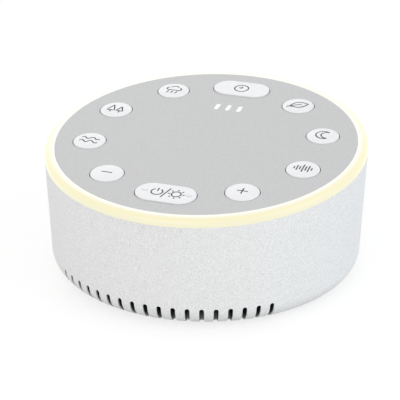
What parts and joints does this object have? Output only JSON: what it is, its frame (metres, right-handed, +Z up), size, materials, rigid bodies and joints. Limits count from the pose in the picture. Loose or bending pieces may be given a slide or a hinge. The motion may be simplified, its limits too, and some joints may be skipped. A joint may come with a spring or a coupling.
{
  "type": "white noise sound machine",
  "caption": "Round bedside sound machine with a sloping key plate, a glowing rim and vent slots round its lower front edge.",
  "frame": {"origin": "centre of the underside, on the plane of the feet", "axes": "+Z up, -Y towards the front where the top slopes down, +X to the right seen from the front"},
  "size_m": [0.14, 0.1394, 0.0638],
  "materials": {
    "housing_plastic": "fine speckled texture",
    "plate_plastic": "fine matte grain",
    "key_plastic": "smooth satin",
    "diffuser": "translucent, lit from inside",
    "window_plastic": "milky light pipe",
    "foot_rubber": "matte",
    "steel": "plain",
    "circuit_board": "solder mask",
    "dark_plastic": "moulded",
    "pale_plastic": "moulded",
    "emitter": "clear resin over phosphor",
    "can_metal": "plain",
    "brass": "plain",
    "lead_insulation": "plain",
    "black_metal": "black coated",
    "terminal_board": "laminate",
    "foam_rubber": "matte",
    "zinc_metal": "zinc plated",
    "ferrite": "sintered ferrite",
    "cone_paper": "pressed paper",
    "spider_fabric": "resin-dipped cloth"
  },
  "bodies": {
    "chassis": {"base_cover": "housing_plastic", "base_screws": "steel", "capacitors": "can_metal", "dc_jack": "dark_plastic", "housing": "housing_plastic", "indicator_leds": "emitter", "indicator_windows": "window_plastic", "jack_pin": "brass", "key_board": "circuit_board", "key_board_screws": "steel", "key_board_socket": "pale_plastic", "lead_socket": "pale_plastic", "light_ring": "diffuser", "main_board": "circuit_board", "main_board_screws": "steel", "main_board_socket": "pale_plastic", "ribbon_cable": "pale_plastic", "ring_leds": "emitter", "rubber_feet": "foot_rubber", "sound_chip": "dark_plastic", "speaker_frame": "black_metal", "speaker_gasket": "foam_rubber", "speaker_leads": "lead_insulation", "speaker_magnet": "ferrite", "speaker_screws": "steel", "speaker_spider": "spider_fabric", "speaker_surround": "foam_rubber", "speaker_terminal": "terminal_board", "speaker_washer": "zinc_metal", "speaker_yoke": "zinc_metal", "tact_switches": "dark_plastic", "top_plate": "plate_plastic"},
    "timer_key": {"key_timer": "key_plastic", "plunger_timer": "dark_plastic"},
    "relax_key": {"key_relax": "key_plastic", "plunger_relax": "dark_plastic"},
    "calm_key": {"key_calm": "key_plastic", "plunger_calm": "dark_plastic"},
    "noise_key": {"key_noise": "key_plastic", "plunger_noise": "dark_plastic"},
    "plus_key": {"key_plus": "key_plastic", "plunger_plus": "dark_plastic"},
    "power_key": {"key_power": "key_plastic", "plunger_power": "dark_plastic"},
    "minus_key": {"key_minus": "key_plastic", "plunger_minus": "dark_plastic"},
    "ocean_key": {"key_ocean": "key_plastic", "plunger_ocean": "dark_plastic"},
    "forest_key": {"key_forest": "key_plastic", "plunger_forest": "dark_plastic"},
    "rain_key": {"key_rain": "key_plastic", "plunger_rain": "dark_plastic"},
    "diaphragm": {"speaker_cone": "cone_paper", "dust_cap": "cone_paper", "voice_coil": "brass"}
  },
  "joints": [
    {"name": "timer_press", "type": "slide", "parent": "chassis", "child": "timer_key", "axis": [0, 0.095, -0.9955], "range_m": [0, 0.0006], "stiffness_N_per_m": 1500},
    {"name": "relax_press", "type": "slide", "parent": "chassis", "child": "relax_key", "axis": [0, 0.095, -0.9955], "range_m": [0, 0.0006], "stiffness_N_per_m": 1500},
    {"name": "calm_press", "type": "slide", "parent": "chassis", "child": "calm_key", "axis": [0, 0.095, -0.9955], "range_m": [0, 0.0006], "stiffness_N_per_m": 1500},
    {"name": "noise_press", "type": "slide", "parent": "chassis", "child": "noise_key", "axis": [0, 0.095, -0.9955], "range_m": [0, 0.0006], "stiffness_N_per_m": 1500},
    {"name": "plus_press", "type": "slide", "parent": "chassis", "child": "plus_key", "axis": [0, 0.095, -0.9955], "range_m": [0, 0.0006], "stiffness_N_per_m": 1500},
    {"name": "power_press", "type": "slide", "parent": "chassis", "child": "power_key", "axis": [0, 0.095, -0.9955], "range_m": [0, 0.0006], "stiffness_N_per_m": 1500},
    {"name": "minus_press", "type": "slide", "parent": "chassis", "child": "minus_key", "axis": [0, 0.095, -0.9955], "range_m": [0, 0.0006], "stiffness_N_per_m": 1500},
    {"name": "ocean_press", "type": "slide", "parent": "chassis", "child": "ocean_key", "axis": [0, 0.095, -0.9955], "range_m": [0, 0.0006], "stiffness_N_per_m": 1500},
    {"name": "forest_press", "type": "slide", "parent": "chassis", "child": "forest_key", "axis": [0, 0.095, -0.9955], "range_m": [0, 0.0006], "stiffness_N_per_m": 1500},
    {"name": "rain_press", "type": "slide", "parent": "chassis", "child": "rain_key", "axis": [0, 0.095, -0.9955], "range_m": [0, 0.0006], "stiffness_N_per_m": 1500},
    {"name": "cone_stroke", "type": "slide", "parent": "chassis", "child": "diaphragm", "axis": [0, 0, 1], "range_m": [-0.0012, 0.0012], "stiffness_N_per_m": 1200, "deforming": ["speaker_surround", "speaker_spider"]}
  ]
}
